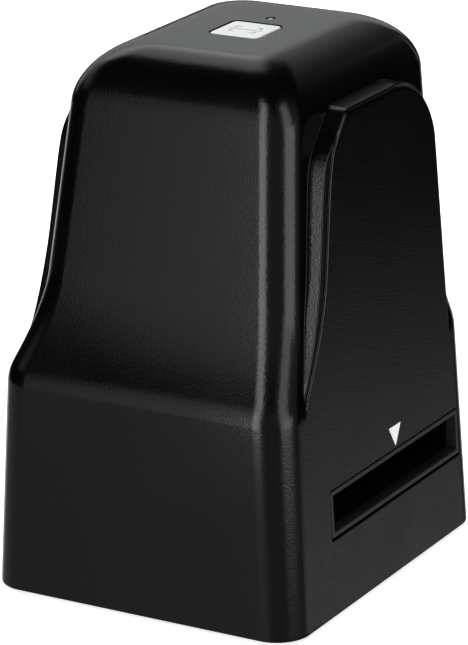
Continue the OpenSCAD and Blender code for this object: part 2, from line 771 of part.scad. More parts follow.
// ---------------------------------------------------------------- camera

module optical_tunnel() {
    color(chip_black) lift() difference() {
        union() {
            translate([0, slot_y, guide_top]) rounded_box(tunnel_w, tunnel_d, camera_z - guide_top, 2);
            translate([0, plate_y, camera_z - plate_t])
                rounded_box(main_board_w, 2 * (board_screw_y + board_screw_edge), plate_t, 3);
            translate([0, 0, camera_z - plate_t]) four(board_screw_x, board_screw_y, plate_y)
                cylinder(h = board_boss_h + plate_t, r = standoff_r);
            translate([0, 0, guide_top + ear_pad_h]) four(ear_x, ear_y, slot_y) cylinder(h = ear_t, r = ear_r);
            for (s = [-1, 1]) translate([0, slot_y + s * ear_y, guide_top + ear_pad_h])
                centred_box([2 * ear_x, 2 * ear_r, ear_t]);
            for (s = [-1, 1]) translate([s * tunnel_rib_x, slot_y, guide_top])
                centred_box([rib_t, tunnel_d + 2 * tunnel_rib_d, camera_z - guide_top]);
        }
        translate([0, slot_y, guide_top - 1])
            centred_box([tunnel_w - 2 * tunnel_wall, tunnel_d - 2 * tunnel_wall, camera_z - plate_t - guide_top + 1]);
        translate([0, slot_y, camera_z - plate_t - 1]) centred_box([plate_hole, plate_hole, plate_t + 2]);
        translate([0, 0, guide_top + ear_pad_h - 1]) four(ear_x, ear_y, slot_y)
            cylinder(h = ear_t + 2, r = board_screw[0] + hole_clear);
        translate([0, 0, main_board_z - board_screw_l + 1]) four(board_screw_x, board_screw_y, plate_y)
            cylinder(h = board_screw_l, r = board_screw[0] + fit);
    }
}

module tunnel_screws() {
    color(steel) lift() translate([0, 0, guide_top + ear_pad_h + ear_t])
        four(ear_x, ear_y, slot_y) screw_down(board_screw, ear_screw_l);
}

module main_board() {
    color(board_green) lift() difference() {
        translate([-main_board_w / 2, main_board_front, main_board_z])
            cube([main_board_w, main_board_back - main_board_front, board_t]);
        translate([0, 0, main_board_z - 1]) four(board_screw_x, board_screw_y, plate_y)
            cylinder(h = board_t + 2, r = board_screw[0] + hole_clear);
    }
}

module main_board_screws() {
    color(steel) lift() translate([0, 0, main_board_top])
        four(board_screw_x, board_screw_y, plate_y) screw_down(board_screw, board_screw_l);
}

processor = [14, 14, 1.4];
processor_x = 4;
memory = [8, 12, 1.1];
memory_x = -13;
pin = [0.5, 1, 0.3];
pin_pitch = 1.1;
crystal = [4.4, 10.5, 3.2];
crystal_x = 17;
capacitor_r = 2.5;
capacitor_h = 5.4;
capacitor_x = -15;
capacitor_pitch = 7.5;
chip_part = [1.2, 2, 0.6];
chip_part_pitch = 2.6;
parts_x = 9;
parts_back = 14;
parts_front = 11.5;

module image_processor() {
    pin_y = processor[1] / 2 + pin[1] / 2;
    color(chip_black) lift() translate([processor_x, slot_y, main_board_top]) {
        centred_box(processor);
        for (a = [0 : 90 : 270]) rotate(a) for (i = [-5 : 5])
            translate([i * pin_pitch, pin_y, 0]) centred_box(pin);
    }
}

module memory_chip() {
    pin_x = memory[0] / 2 + pin[1] / 2;
    color(chip_black) lift() translate([memory_x, slot_y, main_board_top]) {
        centred_box(memory);
        for (s = [-1, 1]) for (i = [-4 : 4])
            translate([s * pin_x, i * pin_pitch, 0]) rotate(90) centred_box(pin);
    }
}

// Crystal can, electrolytic capacitors and a row of small chip parts
module board_components() {
    color([0.65, 0.6, 0.5]) lift() translate([0, slot_y, main_board_top]) {
        translate([crystal_x, 0, 0])
            rounded_box(crystal[0], crystal[1], crystal[2], crystal[0] / 2 - 0.1);
        for (i = [0, 1]) translate([capacitor_x + i * capacitor_pitch, parts_back, 0])
            cylinder(h = capacitor_h, r = capacitor_r);
        for (i = [0 : 5]) translate([parts_x + i * chip_part_pitch, parts_back, 0])
            centred_box(chip_part);
        for (i = [0 : 4]) translate([i * chip_part_pitch - parts_x / 2, -parts_front, 0])
            centred_box(chip_part);
    }
}

sensor_w = 11.4;
sensor_t = 1.3;
filter_w = 10;
cavity_w = 12.4;
holder_w = 16.6;
holder_h = 13.5;
filter_t = 0.5;
holder_cavity_h = 3;
lens_end_gap = 1;
lens_top = main_board_z - holder_cavity_h - filter_t - lens_end_gap;

module image_sensor() {
    color(chip_black) lift() translate([0, slot_y, main_board_z - sensor_t])
        centred_box([sensor_w, sensor_w, sensor_t]);
}

module infrared_filter() {
    color([0.6, 0.85, 0.85]) lift()
        translate([0, slot_y, main_board_z - holder_cavity_h - filter_t]) centred_box([filter_w, filter_w, filter_t]);
}

// A threaded block with a square cavity over the sensor and a seat for the filter
module lens_holder() {
    color(chip_black) lift() translate([0, slot_y, main_board_z]) difference() {
        translate([0, 0, -holder_h]) rounded_box(holder_w, holder_w, holder_h, 1.5);
        translate([0, 0, -holder_cavity_h]) centred_box([cavity_w, cavity_w, holder_cavity_h + 1]);
        translate([0, 0, -holder_cavity_h - filter_t]) centred_box([filter_w + 2 * hole_clear, filter_w + 2 * hole_clear, filter_t + 1]);
        translate([0, 0, -holder_h - 1]) cylinder(h = holder_h - holder_cavity_h - filter_t - 0.6 + 1,
            r = lens_r + fit);
        translate([0, 0, -holder_h]) cylinder(h = holder_h, r = 4.5);
    }
}

module lens_barrel() {
    color(chip_black) lift() translate([0, slot_y, lens_top - lens_l]) difference() {
        union() {
            cylinder(h = lens_l, r = lens_r);
            cylinder(h = 2.4, r = lens_r + 1);
        }
        translate([0, 0, -1]) cylinder(h = lens_l + 2, r = lens_r - 2.6);
        translate([0, 0, -1]) cylinder(h = 3.4, r = lens_r - 1.2);
        translate([0, 0, lens_l - 2.2]) cylinder(h = 3, r = lens_r - 1.8);
    }
}

// A glass disc with one bulging face, its flat side at z = 0
module lens_element(r, edge_t, crown) {
    ball_r = (r * r + crown * crown) / (2 * crown);
    rotate_extrude() intersection() {
        square([r, edge_t + crown]);
        translate([0, edge_t + crown - ball_r]) circle(ball_r, $fn = 96);
    }
}

module lens_front_element() {
    color([0.75, 0.8, 0.95]) lift() translate([0, slot_y, lens_top - lens_l + 2.4 - fit]) rotate([180, 0, 0])
        lens_element(lens_r - 1.2 - fit, 1, 0.8);
}

module lens_rear_element() {
    color([0.75, 0.8, 0.95]) lift() translate([0, slot_y, lens_top - 2.2 + fit])
        lens_element(lens_r - 1.8 - fit, 1, 0.7);
}

// ---------------------------------------------------------------- sockets and leads

module usb_socket() {
    color(steel) lift() translate([0, tower_rear_inside - 0.3, usb_z]) rotate([90, 0, 0]) {
        difference() {
            linear_extrude(usb_l) rounded_square(usb_w, usb_h, 0.6);
            translate([0, 0, -eps]) linear_extrude(usb_l - 1.4) rounded_square(usb_w - 0.8, usb_h - 0.8, 0.4);
        }
        translate([-2.6, -0.5, 1]) cube([5.2, 1, usb_l - 2]);
    }
}

// Connector bodies: backlight board, main board front, main board left, button board
lead_plug_y = slot_y - light_box_d / 2 - 0.5 - connector[1];
main_plug_y = main_board_front + 1.2;
button_plug_y = button_board_y - button_board_d / 2 + 0.5;

module cable_connectors() {
    color([0.85, 0.83, 0.75]) lift() {
        translate([backlight_lead_x - connector[0] / 2, lead_plug_y, lamp_board_top]) cube(connector);
        translate([backlight_lead_x - connector[0] / 2, main_plug_y, main_board_top]) cube(connector);
        translate([button_lead_x - connector[0] / 2, main_plug_y, main_board_top]) cube(connector);
        translate([button_lead_x - connector[0] / 2, button_plug_y, button_board_z - connector[2]])
            cube(connector);
    }
}

// From the backlight board, forward and up in front of the channel to the main board
module backlight_cable() {
    low_z = lamp_board_top + connector[2] / 2;
    high_z = main_board_top + connector[2] / 2;
    front = slot_y - guide_half_d - lead_front_gap;
    top_front = main_board_front - 4;
    path = concat(
        [[lead_plug_y, low_z]],
        bend([front + 4, low_z + 4], 4, 270, 180),
        [[front, guide_top + 4], [top_front, main_board_z - lead_rise]],
        bend([top_front + 2, high_z - 2], 2, 180, 90),
        [[main_plug_y, high_z]]
    );
    color([0.9, 0.9, 0.88]) lift() translate([backlight_lead_x, 0, 0]) strip(path, backlight_lead_w, lead_t);
}

// From the main board up to the button board's underside
module button_cable() {
    low_z = main_board_top + connector[2] / 2;
    high_z = button_board_z - connector[2] / 2;
    front = main_plug_y - 1.6;
    path = concat(
        [[main_plug_y, low_z]],
        bend([front + 1, low_z + 1], 1, 270, 180),
        [[front, low_z + 4]],
        [[button_plug_y - 3, high_z - 6]],
        bend([button_plug_y - 1, high_z - 2], 2, 180, 90),
        [[button_plug_y, high_z]]
    );
    color([0.9, 0.9, 0.88]) lift() translate([button_lead_x, 0, 0]) strip(path, button_lead_w, lead_t);
}

// ---------------------------------------------------------------- button

module button_board() {
    color(board_green) lift() translate([0, button_board_y, button_board_z]) difference() {
        rounded_box(button_board_w, button_board_d, board_t, 1.5);
        translate([0, 0, -1]) four(button_post_x, button_post_y)
            cylinder(h = board_t + 2, r = board_screw[0] + hole_clear);
    }
}

module button_board_screws() {
    color(steel) lift() translate([0, 0, button_board_z])
        four(button_post_x, button_post_y, button_board_y) screw(board_screw, board_screw_l);
}

switch_plunger_r = 1.7;

module tact_switch_body() {
    color([0.2, 0.2, 0.22]) lift() translate([0, button_y, button_board_top]) difference() {
        rounded_box(6, 6, switch_body_h, 0.5);
        translate([0, 0, 1]) cylinder(h = switch_body_h, r = switch_plunger_r + slide_fit);
    }
}

module switch_plunger() {
    pocket = 1 + button_travel + 0.2;
    color([0.15, 0.15, 0.16]) lift() translate([0, button_y, button_board_top + pocket])
        cylinder(h = switch_body_h + switch_plunger_h - pocket, r = switch_plunger_r);
}

// A square cap with a wider flange that stops under the collar, and a stem
module scan_button() {
    color([0.82, 0.83, 0.85]) lift() translate([0, button_y, 0]) {
        translate([0, 0, button_flange_z + button_flange_t - eps])
            rounded_box(button_w, button_w, body_h + button_proud - button_flange_z - button_flange_t + eps,
                button_r);
        translate([0, 0, button_flange_z]) rounded_box(button_flange_w, button_flange_w, button_flange_t - eps, 1);
        translate([0, 0, button_flange_z - button_stem_h + eps]) cylinder(h = button_stem_h, r = button_stem_r);
    }
}

module status_led() {
    color("palegreen") lift() translate([0, indicator_y, button_board_top]) centred_box([3, 2, 1]);
}

// A clear rod from the lamp to the top, with a flange under the ceiling
module status_light_pipe() {
    bottom = button_board_top + 1 + eps;
    top = body_h - 0.2;
    color([0.8, 0.85, 0.9]) lift() translate([0, indicator_y, 0]) {
        translate([0, 0, bottom]) cylinder(h = top - pipe_r - bottom, r = pipe_r);
        translate([0, 0, top - pipe_r]) intersection() {
            sphere(pipe_r);
            cylinder(h = 2, r = 2);
        }
        translate([0, 0, ceiling - indicator_collar_h - 1]) cylinder(h = 1, r = 2 * indicator_r - fit);
    }
}

outer_shell();
slot_arrow_marks();
slot_bezel_right();
slot_bezel_left();
bottom_cover();
rubber_feet();
cover_screws();
chassis_screws();
film_guide_lower();
film_guide_upper();
guide_screws();
detent_ball_front();
detent_ball_back();
detent_spring_front();
detent_spring_back();
detent_plugs();
backlight_board();
backlight_leds();
backlight_screws();
light_box();
light_diffuser();
optical_tunnel();
tunnel_screws();
main_board();
main_board_screws();
image_processor();
memory_chip();
board_components();
image_sensor();
infrared_filter();
lens_holder();
lens_barrel();
lens_front_element();
lens_rear_element();
usb_socket();
cable_connectors();
backlight_cable();
button_cable();
button_board();
button_board_screws();
tact_switch_body();
switch_plunger();
scan_button();
status_led();
status_light_pipe();
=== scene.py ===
"""Dressed model of the film negative scanner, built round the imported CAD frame.

Shapes are worked out in millimetres in the housing's own heights (the CAD model stands
FOOT_H higher, on its feet) and turned into metres when a mesh is made.
"""
import json
import math

import bmesh
import bpy
from mathutils import Matrix, Vector


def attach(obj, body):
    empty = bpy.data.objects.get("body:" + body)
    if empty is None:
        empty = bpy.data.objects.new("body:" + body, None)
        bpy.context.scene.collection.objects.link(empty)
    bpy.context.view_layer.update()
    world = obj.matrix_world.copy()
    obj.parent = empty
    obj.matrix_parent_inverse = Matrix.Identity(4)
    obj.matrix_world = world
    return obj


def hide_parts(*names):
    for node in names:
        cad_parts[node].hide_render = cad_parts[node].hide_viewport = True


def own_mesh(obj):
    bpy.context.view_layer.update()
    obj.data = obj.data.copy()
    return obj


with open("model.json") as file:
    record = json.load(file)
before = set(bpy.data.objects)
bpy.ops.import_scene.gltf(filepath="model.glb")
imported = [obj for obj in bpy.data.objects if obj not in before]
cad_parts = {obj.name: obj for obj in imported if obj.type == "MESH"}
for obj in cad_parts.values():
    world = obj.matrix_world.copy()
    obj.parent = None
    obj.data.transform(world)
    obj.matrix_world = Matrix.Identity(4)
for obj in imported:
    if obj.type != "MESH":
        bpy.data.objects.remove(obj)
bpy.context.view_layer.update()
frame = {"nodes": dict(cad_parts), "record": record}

# ---------------------------------------------------------------- sizes, as in the CAD model

MM = 0.001
FOOT_H = 1.0
BASE_W, BASE_D, BODY_H = 86.0, 99.0, 133.3
BASE_R = 8.6
WALL = 2.2
SIDE_DRAFT, END_DRAFT = 0.0515, 0.035
TOWER_W = 60.7
TOWER_FRONT, TOWER_BACK = 26.2, 45.8
TOWER_SIDE_DRAFT, TOWER_FRONT_DRAFT = 0.081, 0.17
TOWER_R, TOP_R = 7.9, 13.6
FLARE_LOW, FLARE_MID, FLARE_HIGH = 52.7, 57.3, 78.8
EDGE_R = 0.6
CEILING = BODY_H - WALL

# the raised panel on each side: its outline, and the curves of its front edge from low to high
PANEL_TOP = 121.6
PANEL_FRONT, PANEL_BACK = 19.2, 35.8
PANEL_FRONT_R, PANEL_BACK_R = 1.2, 18.0
INNER_FRONT_R = 1.0
PANEL_BACK_LEAN = 0.05
CURL_LOW, CURL_HIGH, CURL = 64.0, 86.0, 0.009
PANEL_BEND_Z, PANEL_LEAN, PANEL_BEND = 103.0, 0.19, 0.011
TIP_Z, TIP_RUN, TIP_BEND, TIP_LEAN = 110.5, 6.0, 0.035, 0.35

# the panel's relief: the radii of its face's edge grow between two heights, as the ledge fades
FACE_FRONT_R, FACE_BACK_R, FACE_TOP_R = 0.55, 0.6, 1.45
FACE_FRONT_GROWS, FACE_BACK_GROWS = (112, 119), (104, 119)
LEDGE_LOW_W, LEDGE_HIGH_W, LEDGE_LEAST_W = 1.0, 2.15, 0.1
LEDGE_WIDENS, LEDGE_FADES = (60, 80), (109, 118)
STEP_H, STEP_R = 0.65, 0.35
WALL_SLOPE = 60.0
ROOT_R, ROOT_SHARE = 0.14, 0.45
ROOT_RISE = 0.22
OVER_TOP = 0.31

# the slot through the base and its ring
SLOT_Y, SLOT_Z = 6.8, 25.7
CHANNEL_W, CHANNEL_H = 65.0, 9.4
BEZEL_W, BEZEL_EDGE, BEZEL_SINK = 1.15, 0.13, 0.05
GUIDE_END = 38.81
SLOT_GAP, SLOT_GAP_LOW, SLOT_R = 0.38, 0.75, 0.35
BEZEL_R, BEZEL_MOUTH_R, BEZEL_INNER_R, BEZEL_BULGE = 0.3, 0.2, 0.12, 0.3
SLOT_LOW = SLOT_Z - CHANNEL_H / 2 - BEZEL_W - SLOT_GAP_LOW
SLOT_HIGH = SLOT_Z + CHANNEL_H / 2 + BEZEL_W + SLOT_GAP
SLOT_W = CHANNEL_W + 2 * (BEZEL_W + SLOT_GAP)

# the button and its sign, the indicator and the socket's port
BUTTON_Y, BUTTON_W, BUTTON_R, BUTTON_RIM_R = 7.6, 13.4, 1.6, 0.35
BUTTON_GAP, BUTTON_PROUD, SIGN_T = 0.42, -0.05, 0.015
FLANGE_W, FLANGE_R, FLANGE_T, FLANGE_DROP = 2.6, 1.0, 1.0, 3.2
STEM_R, STEM_LONG, STEM_INSIDE = 2.2, 3.3, 0.9
SIGN_W, SIGN_D, SIGN_LEG, SIGN_LINE, SIGN_REACH = 3.6, 2.5, 1.5, 0.32, 0.9
INDICATOR_Y, INDICATOR_HOLE_R, INDICATOR_FLARE = 20.0, 1.2, 0.6
LAMP_R, LAMP_LONG, LAMP_COLLAR_R, LAMP_COLLAR_T, LAMP_COLLAR_DROP = 0.86, 11.0, 2.2, 1.0, 1.2
LAMP_SINK, DOME_SHARE = 0.05, 0.6
PORT_Z, PORT_W, PORT_H, PORT_R = 99.05, 11.5, 7.6, 1.5

# how cutters reach past the surface, and the chamfers that they leave
SLOT_CHAMFER, TOP_CHAMFER, PORT_CHAMFER = 0.14, 0.15, 0.3
CUT_REACH, PORT_CUT_REACH, CUT_CLEAR = 0.4, 0.5, 3.0
SLOT_CUT_DEEP, WALL_CUT_DEEP = 9.0, WALL + 1.0


def smooth(lo, hi, v):
    t = min(1.0, max(0.0, (v - lo) / (hi - lo)))
    return t * t * (3 - 2 * t)


def mix(a, b, t):
    return a + (b - a) * t


# ---------------------------------------------------------------- mesh helpers

# the least angle of a sharp edge, in degrees, and how strongly large faces lead the shading
SHARP, EVEN = 34, 60


def add_object(name, data):
    obj = bpy.data.objects.new(name, data)
    bpy.context.scene.collection.objects.link(obj)
    return obj


def mesh_object(name, bm):
    """Turns a bmesh into an object and frees it."""
    mesh = bpy.data.meshes.new(name)
    bm.to_mesh(mesh)
    bm.free()
    return add_object(name, mesh)


def new_piece(name, bm, body, sharp=SHARP):
    """Turns a bmesh in housing millimetres into a piece that rides on a body."""
    bmesh.ops.recalc_face_normals(bm, faces=bm.faces)
    for v in bm.verts:
        v.co = Vector((v.co.x, v.co.y, v.co.z + FOOT_H)) * MM
    limit = math.radians(sharp)
    for f in bm.faces:
        f.smooth = True
    for e in bm.edges:
        e.smooth = len(e.link_faces) == 2 and e.calc_face_angle(0) < limit
    obj = mesh_object(name, bm)
    even = obj.modifiers.new("even_normals", "WEIGHTED_NORMAL")
    even.keep_sharp = True
    even.weight = EVEN
    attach(obj, body)
    return obj


def skin(bm, rings, closed=False):
    """Quads between rings of equal length, with a face on each end unless the rings close."""
    rows = [[bm.verts.new(p) for p in ring] for ring in rings]
    pairs = list(zip(rows, rows[1:]))
    if closed:
        pairs.append((rows[-1], rows[0]))
    for a, b in pairs:
        n = len(a)
        for i in range(n):
            j = (i + 1) % n
            bm.faces.new((a[i], a[j], b[j], b[i]))
    if not closed:
        bm.faces.new(list(reversed(rows[0])))
        bm.faces.new(rows[-1])


def rounded(w, d, r, steps=6):
    """Outline of a rounded rectangle about the origin."""
    points = []
    for k, (sx, sy) in enumerate(((1, 1), (-1, 1), (-1, -1), (1, -1))):
        for i in range(steps + 1):
            a = math.radians(90 * k + 90 * i / steps)
            points.append((sx * (w / 2 - r) + r * math.cos(a), sy * (d / 2 - r) + r * math.sin(a)))
    return points


def circle(r, n=48):
    return [(r * math.cos(2 * math.pi * i / n), r * math.sin(2 * math.pi * i / n)) for i in range(n)]


# ---------------------------------------------------------------- housing outline


def flare(z):
    """How far the section at height z is the base's (1) or the tower's (0)."""
    if z <= FLARE_LOW:
        return 1.0
    run = FLARE_HIGH - FLARE_LOW
    if z < FLARE_MID:
        return 1 - (z - FLARE_LOW) ** 2 / ((FLARE_MID - FLARE_LOW) * run)
    if z < FLARE_HIGH:
        return (FLARE_HIGH - z) ** 2 / ((FLARE_HIGH - FLARE_MID) * run)
    return 0.0


def side_plane(z):
    return BASE_W / 2 - SIDE_DRAFT * z


def side_x(z):
    return mix(TOWER_W / 2 + TOWER_SIDE_DRAFT * (BODY_H - z), side_plane(z), flare(z))


def front_y(z):
    return -mix(TOWER_FRONT + TOWER_FRONT_DRAFT * (BODY_H - z), BASE_D / 2 - END_DRAFT * z, flare(z))


def back_y(z):
    return mix(TOWER_BACK, BASE_D / 2 - END_DRAFT * z, flare(z))


def corner_r(z):
    return mix(TOWER_R, BASE_R, flare(z))


def top_inset(z, t):
    rise, r = z - (BODY_H - TOP_R), TOP_R - t
    return 0.0 if rise <= 0 else r - math.sqrt(max(0.0, r * r - rise * rise))


def edge_inset(z, t):
    if t > 0 or z >= EDGE_R:
        return 0.0
    return EDGE_R - math.sqrt(EDGE_R ** 2 - (EDGE_R - z) ** 2)


def corner_ends(z, t):
    """Where a side's straight run starts and ends between the corners of the section."""
    inset = t + top_inset(z, t) + edge_inset(z, t)
    r = corner_r(z) - t
    return front_y(z) + inset + r, back_y(z) - inset - r


def panel_front_y(z):
    """The panel's front edge: it leans, curls forward over the flare and bends back at the top."""
    zc = max(z, FLARE_LOW)
    up = zc - PANEL_BEND_Z
    y = -PANEL_FRONT + PANEL_LEAN * up + PANEL_BEND * max(0.0, up) ** 2
    tip = max(0.0, zc - TIP_Z)
    y += TIP_BEND * min(tip, TIP_RUN) ** 2 + TIP_LEAN * max(0.0, tip - TIP_RUN)
    curl = max(0.0, CURL_HIGH - max(zc, CURL_LOW))
    straight = 2 * (CURL_HIGH - CURL_LOW) * max(0.0, CURL_LOW - zc)
    return y - CURL * (curl ** 2 + straight)


def panel_back_y(z):
    return PANEL_BACK + PANEL_BACK_LEAN * (PANEL_TOP - PANEL_BACK_R - max(z, FLARE_LOW))


def ledge_w(z):
    """Width of the ledge in front of the panel's face; it fades towards the top corner."""
    wide = mix(LEDGE_LOW_W, LEDGE_HIGH_W, smooth(*LEDGE_WIDENS, z))
    return wide * (1 - smooth(*LEDGE_FADES, z)) + LEDGE_LEAST_W


def face_r(z, front):
    """Radius of the front or rear edge of the panel's face."""
    if front:
        return mix(FACE_FRONT_R, FACE_TOP_R, smooth(*FACE_FRONT_GROWS, z))
    return mix(FACE_BACK_R, FACE_TOP_R, smooth(*FACE_BACK_GROWS, z))


def edge_distance(along, down, r):
    """Distance inside a panel's outline, whose upper corner is rounded by r."""
    if along < r and down < r:
        return r - math.hypot(r - along, r - down)
    return min(along, down)


def relief(d, face, r):
    """Height of a raised face at distance d inside its edge, with a filleted edge."""
    if d >= r:
        return face
    if d >= 0:
        return face - r + math.sqrt(max(0.0, r * r - (r - d) ** 2))
    return face - r + d * WALL_SLOPE


def root_rise(e, r):
    """Rise of the fillet where a panel's wall stands on the tower, at distance e from the wall."""
    if r <= 0 or e >= r:
        return 0.0
    return r - math.sqrt(r * r - (r - max(e, 0.0)) ** 2)


def line_offset(z, d, r, t):
    """Offset from the panel's straight edge of the line that lies d inside its outline."""
    down = PANEL_TOP - t - z
    if down >= r or d >= r:
        return d
    if down <= d:
        return r
    return r - math.sqrt((r - d) ** 2 - (r - max(down, 0)) ** 2)


# how the housing's surface is divided into lines: angles round a fillet, shares of the root's
# radius, distances behind an edge, numbers of parts, and the least step from line to line
TURN = [0, 18, 36, 54, 72, 90]
ROOT_STEPS = (1.0, 0.7, 0.45, 0.25, 0.1, 0.0)
FACE_LINES = (0.3, 1.0, 2.4)
LEDGE_LINE, LEDGE_SHARES = 0.08, (0.5, 0.9, 1.0)
FACE_PARTS, SIDE_PARTS, END_PARTS, CORNER_PARTS = 8, 3, 6, 24
LINE_GAP = 0.002
LEAST_WALL = 0.02


def turned(r):
    """Distances from an edge of radius r at which its fillet gets lines."""
    return [r * (1 - math.cos(math.radians(a))) for a in TURN]


def side_half(z, t, lo, hi, xt):
    """Points of the right side from the front corner's end to the rear corner's start.

    The same lines run through all rings: along the ledge, the panel's edges and their roots.
    """
    edge = PANEL_TOP - t
    zp = min(z, edge)
    face = max(xt, side_plane(z) - t - edge_inset(z, t))
    rf, rb = face_r(zp, True), face_r(zp, False)
    front, back = panel_front_y(zp + t) + t, panel_back_y(zp + t) - t
    fr, br = max(PANEL_FRONT_R - t, INNER_FRONT_R), PANEL_BACK_R - t
    ledge = ledge_w(zp)
    step = face - STEP_H
    rs = min(STEP_R, ledge / 4)
    ledge_foot = -max(0.0, step - rs - xt) / WALL_SLOPE
    front_foot = -max(LEAST_WALL, face - rf - max(step, xt)) / WALL_SLOPE
    back_foot = -max(LEAST_WALL, face - rb - xt) / WALL_SLOPE
    root = min(ROOT_R, ROOT_SHARE * max(0.0, step - xt)) if t == 0 else 0.0

    def at_front(d, shift=0.0):
        return front - shift + line_offset(zp, d, fr, t)

    def at_back(d):
        return back - line_offset(zp, d, br, t)

    first = [at_front(ledge_foot - e * root, ledge) for e in ROOT_STEPS]
    first += [at_front(d, ledge) for d in turned(rs) + [rs + LEDGE_LINE]]
    wall = at_front(front_foot)
    first += [mix(first[-1], wall, share) for share in LEDGE_SHARES]
    first += [at_front(d) for d in turned(rf)]
    first += [at_front(rf + e) for e in FACE_LINES]
    last = [at_back(rb + e) for e in reversed(FACE_LINES)]
    last += [at_back(d) for d in reversed(turned(rb))]
    last += [at_back(back_foot - e * root) for e in reversed(ROOT_STEPS)]
    lines = [mix(lo, first[0], k / SIDE_PARTS) for k in range(1, SIDE_PARTS)] + first
    lines += [mix(first[-1], last[0], k / FACE_PARTS) for k in range(1, FACE_PARTS)] + last
    lines += [mix(last[-1], hi, k / SIDE_PARTS) for k in range(1, SIDE_PARTS)]
    if z > edge + OVER_TOP:
        a, b = corner_ends(edge, t)
        lines = [lo + (y - a) * (hi - lo) / (b - a) for y in lines]
    for i, y in enumerate(lines):
        lines[i] = max(y, (lines[i - 1] if i else lo) + LINE_GAP)
    for i in range(len(lines) - 1, -1, -1):
        lines[i] = min(lines[i], (lines[i + 1] if i + 1 < len(lines) else hi) - LINE_GAP)
    if z > edge + OVER_TOP + 1.5 * root:
        return [(xt, y) for y in lines]

    points = []
    for y in lines:
        down, behind = edge - z, edge_distance(back - y, edge - z, br)
        d_face = min(edge_distance(y - front, down, fr), behind)
        d_step = min(edge_distance(y - front + ledge, down, fr), behind)
        near_front = y - front < back - y
        top = max(relief(d_face, face, rf if near_front else rb), relief(d_step, step, rs))
        foot = ledge_foot if near_front else back_foot
        points.append((max(xt, top, xt + root_rise(foot - max(d_step, d_face), root)), y))
    return points


def ring(z, t=0.0, shrink=0.0):
    """The housing's outline at height z, for a skin t inside the surface."""
    inset = t + top_inset(z, t) + edge_inset(z, t) + shrink
    x, yf, yb = side_x(z) - inset, front_y(z) + inset, back_y(z) - inset
    r = corner_r(z) - t - shrink
    lo, hi = yf + r, yb - r
    half = [((x - r) * k / END_PARTS, yf) for k in range(1, END_PARTS)]
    for i in range(CORNER_PARTS + 1):
        a = math.radians(-90 + 90 * i / CORNER_PARTS)
        half.append((x - r + r * math.cos(a), lo + r * math.sin(a)))
    half += side_half(z, t, lo, hi, x)
    for i in range(CORNER_PARTS + 1):
        a = math.radians(90 * i / CORNER_PARTS)
        half.append((x - r + r * math.cos(a), hi + r * math.sin(a)))
    half += [((x - r) * k / END_PARTS, yb) for k in range(END_PARTS - 1, 0, -1)]
    whole = [(0.0, yf)] + half + [(0.0, yb)] + [(-px, py) for px, py in reversed(half)]
    return [(px, py, z) for px, py in whole]


# heights of the outer skin's rings: on the base, on the tower, and below the panel's top edge
BASE_HEIGHTS = [1.2, 4.0, 12.0, 22.0, 32.0, 42.0, 49.0]
TOWER_HEIGHTS = [82.0, 86.0, 90.0, 94.0, 98.0, 101.0]
PANEL_DROPS = [10.2, 8.5, 7.0, 5.0, 3.8, 3.0, 2.4, 1.75]
EDGE_TURN = (0, 22, 45, 67, 90)
ROOT_LIFTS = (-0.1, 0, 0.1, 0.25, 0.45, 0.7, 1.0)
INNER_HEIGHTS, INNER_LIFTS = [0.0, 90.0], (0.3, 0.5)
RING_GAP, LAST_GAP = 0.06, 0.05
TOP_SHRINKS = (0.8, 2.5)
MERGE, SLIVER = 0.0015, 0.0005


def spaced(values, least):
    """The values in order, without those closer than least to the one before."""
    out = []
    for v in sorted(values):
        if not out or v - out[-1] >= least:
            out.append(v)
    return out


def ring_heights(t):
    """Heights of a skin's rings, close together where its section changes; the inner skin has few."""
    outer = t == 0
    edge, knee, r = PANEL_TOP - t, BODY_H - TOP_R, TOP_R - t
    run = FLARE_HIGH - FLARE_LOW
    flare_n, corner_n, turn_n = (30, 18, 26) if outer else (8, 6, 8)
    low = [FLARE_LOW + run * i / flare_n for i in range(flare_n + 1)]
    low += [edge - PANEL_BACK_R * (1 - math.sin(math.radians(90 * i / corner_n))) for i in range(corner_n)]
    if outer:
        low += [EDGE_R * (1 - math.cos(math.radians(a))) for a in EDGE_TURN]
        low += BASE_HEIGHTS + TOWER_HEIGHTS + [edge - drop for drop in PANEL_DROPS]
        low += [edge - PANEL_FRONT_R * (1 - math.sin(math.radians(15 * i))) for i in range(6)]
        low += [edge - d for d in turned(FACE_TOP_R)[1:]]
        over = [edge + ROOT_RISE + ROOT_R * e for e in ROOT_LIFTS]
    else:
        low += INNER_HEIGHTS
        over = [edge + e for e in INNER_LIFTS]
    heights = [z for z in spaced(low, RING_GAP) if z < edge - LAST_GAP] + [edge] + over
    turn = [knee + r * math.sin(math.radians(90 * i / turn_n)) for i in range(1, turn_n + 1)]
    return heights + [z for z in turn if z > heights[-1] + LAST_GAP]


def housing_skin():
    """The closed skin of the housing, down its inside and up its outside."""
    bm = bmesh.new()
    rings = [ring(z, WALL) for z in reversed(ring_heights(WALL))]
    rings += [ring(z) for z in ring_heights(0.0)]
    rings += [ring(BODY_H, shrink=s) for s in TOP_SHRINKS]
    skin(bm, rings)
    bmesh.ops.remove_doubles(bm, verts=bm.verts, dist=MERGE)
    bmesh.ops.dissolve_degenerate(bm, dist=SLIVER, edges=bm.edges)
    return bm


def mouth_cutter(name, outline, place, deep, chamfer, reach):
    """A cutter whose outline grows at the surface; place takes the distance outside the surface."""
    grow = chamfer + reach
    bm = bmesh.new()
    skin(bm, [[place(u, v, out) for u, v in outline(g)]
              for g, out in ((0, -deep), (0, -chamfer), (grow, reach), (grow, CUT_CLEAR))])
    bmesh.ops.recalc_face_normals(bm, faces=bm.faces)
    return mesh_object(name, bm)


